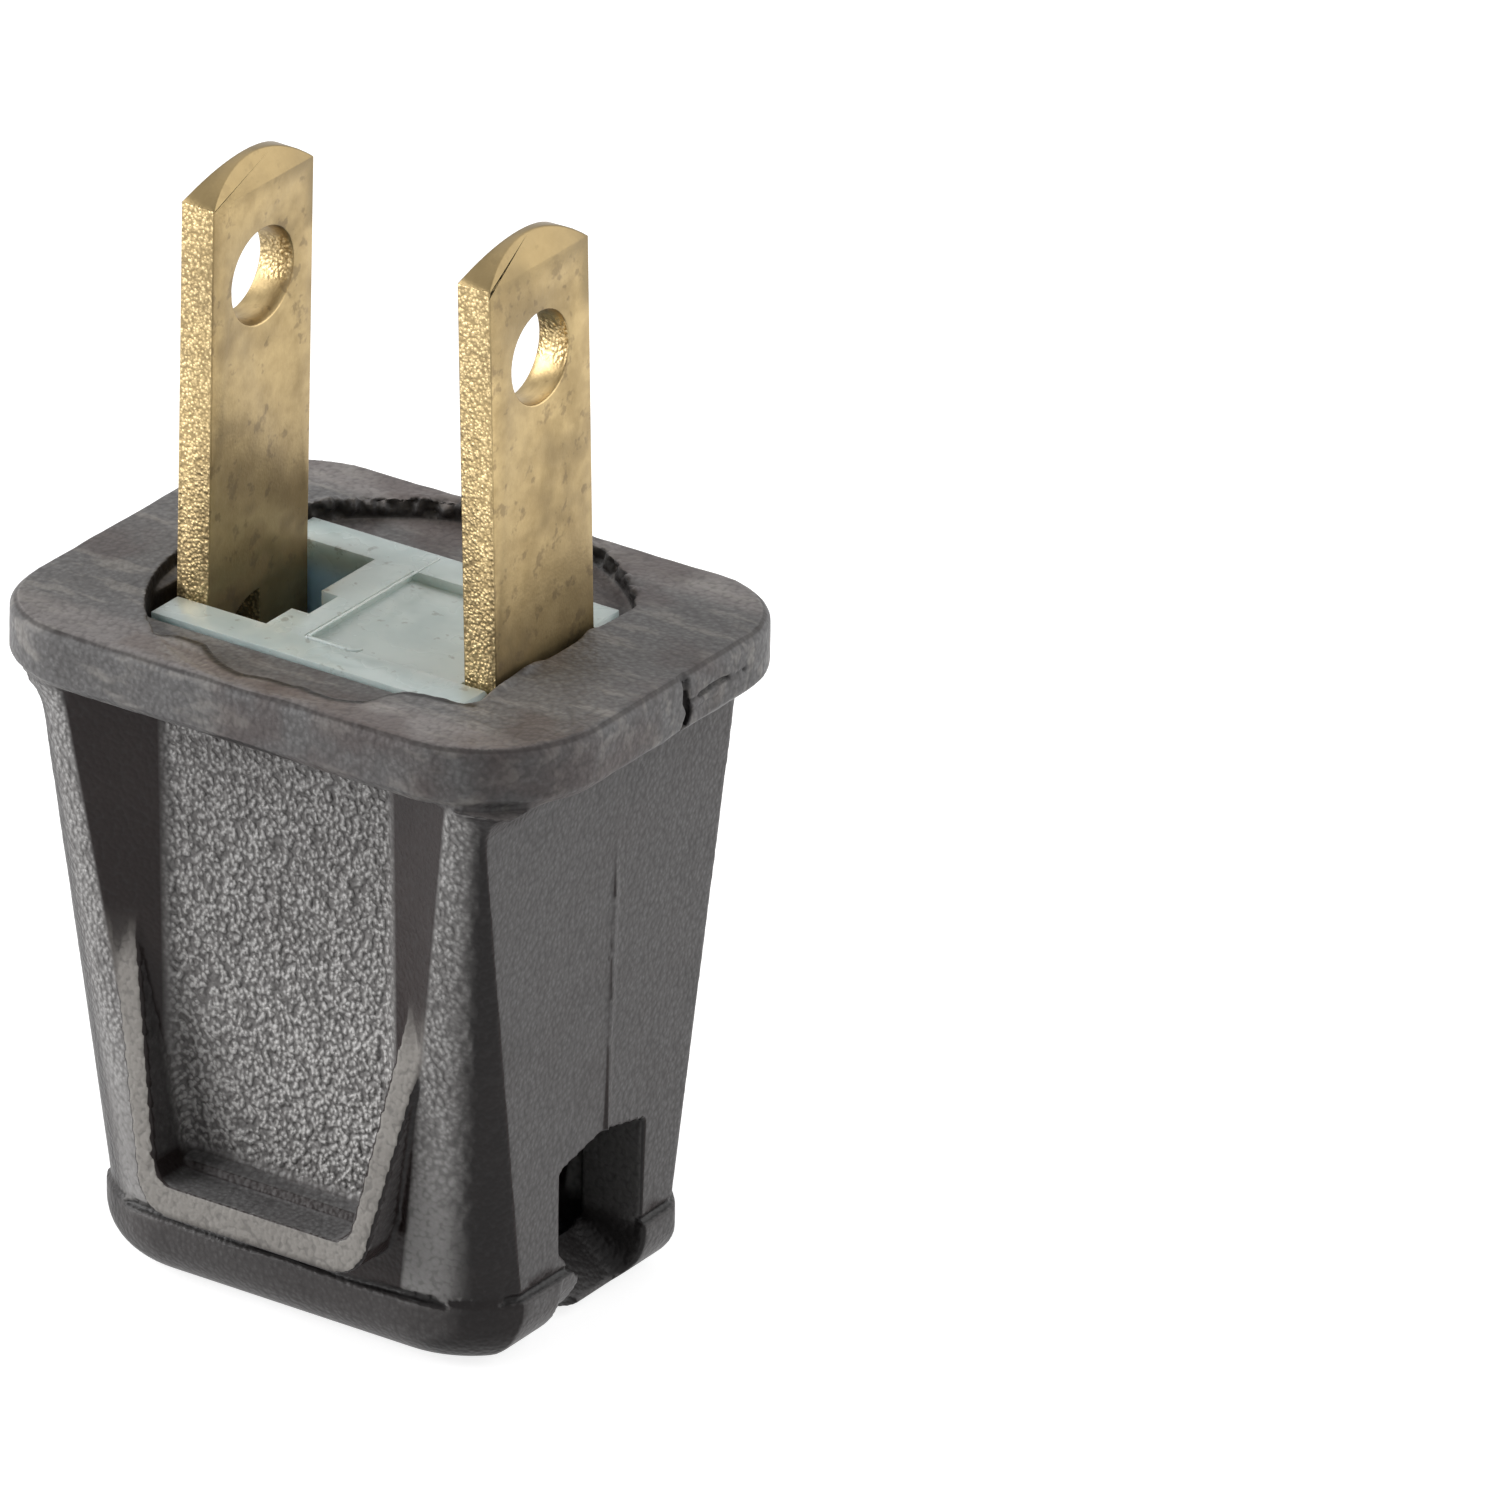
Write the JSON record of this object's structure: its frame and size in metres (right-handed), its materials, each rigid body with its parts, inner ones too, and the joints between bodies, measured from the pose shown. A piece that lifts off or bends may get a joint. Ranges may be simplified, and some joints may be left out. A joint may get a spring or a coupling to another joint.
{
  "type": "type a plug",
  "caption": "Flat-blade power plug with a tapered moulded casing, thumb scoops, a side cord window and a pull-out core whose blades spread to take a flat cord.",
  "frame": {"origin": "centre of the box around the part at its closed end, which it stands on", "axes": "+Z along the blades to their tips, +X from the left blade to the right blade and out of the cord window, -Y out of the thumb scoop that the picture shows"},
  "size_m": [0.0256, 0.019, 0.0444],
  "materials": {
    "casing_plastic": "satin, fine grain",
    "core_plastic": "milky and smooth",
    "blade_brass": "plain, lightly stained"
  },
  "bodies": {
    "casing": {"casing": "casing_plastic"},
    "core": {"core": "core_plastic"},
    "left_blade": {"left_blade": "blade_brass"},
    "right_blade": {"right_blade": "blade_brass"}
  },
  "joints": [
    {"name": "core_slide", "type": "slide", "parent": "casing", "child": "core", "axis": [0, 0, 1], "range_m": [0, 0.026]},
    {"name": "left_blade_pivot", "type": "hinge", "parent": "core", "child": "left_blade", "pos_m": [-0.00688, 0, 0.0155], "axis": [0, -1, 0], "range_deg": [0, 17]},
    {"name": "right_blade_pivot", "type": "hinge", "parent": "core", "child": "right_blade", "pos_m": [0.00644, 0, 0.0155], "axis": [0, 1, 0], "range_deg": [0, 17]}
  ],
  "couplings": [
    {"joint": "left_blade_pivot", "follows": "core_slide", "rad_per_m": 10.8},
    {"joint": "right_blade_pivot", "follows": "core_slide", "rad_per_m": 10.8}
  ]
}
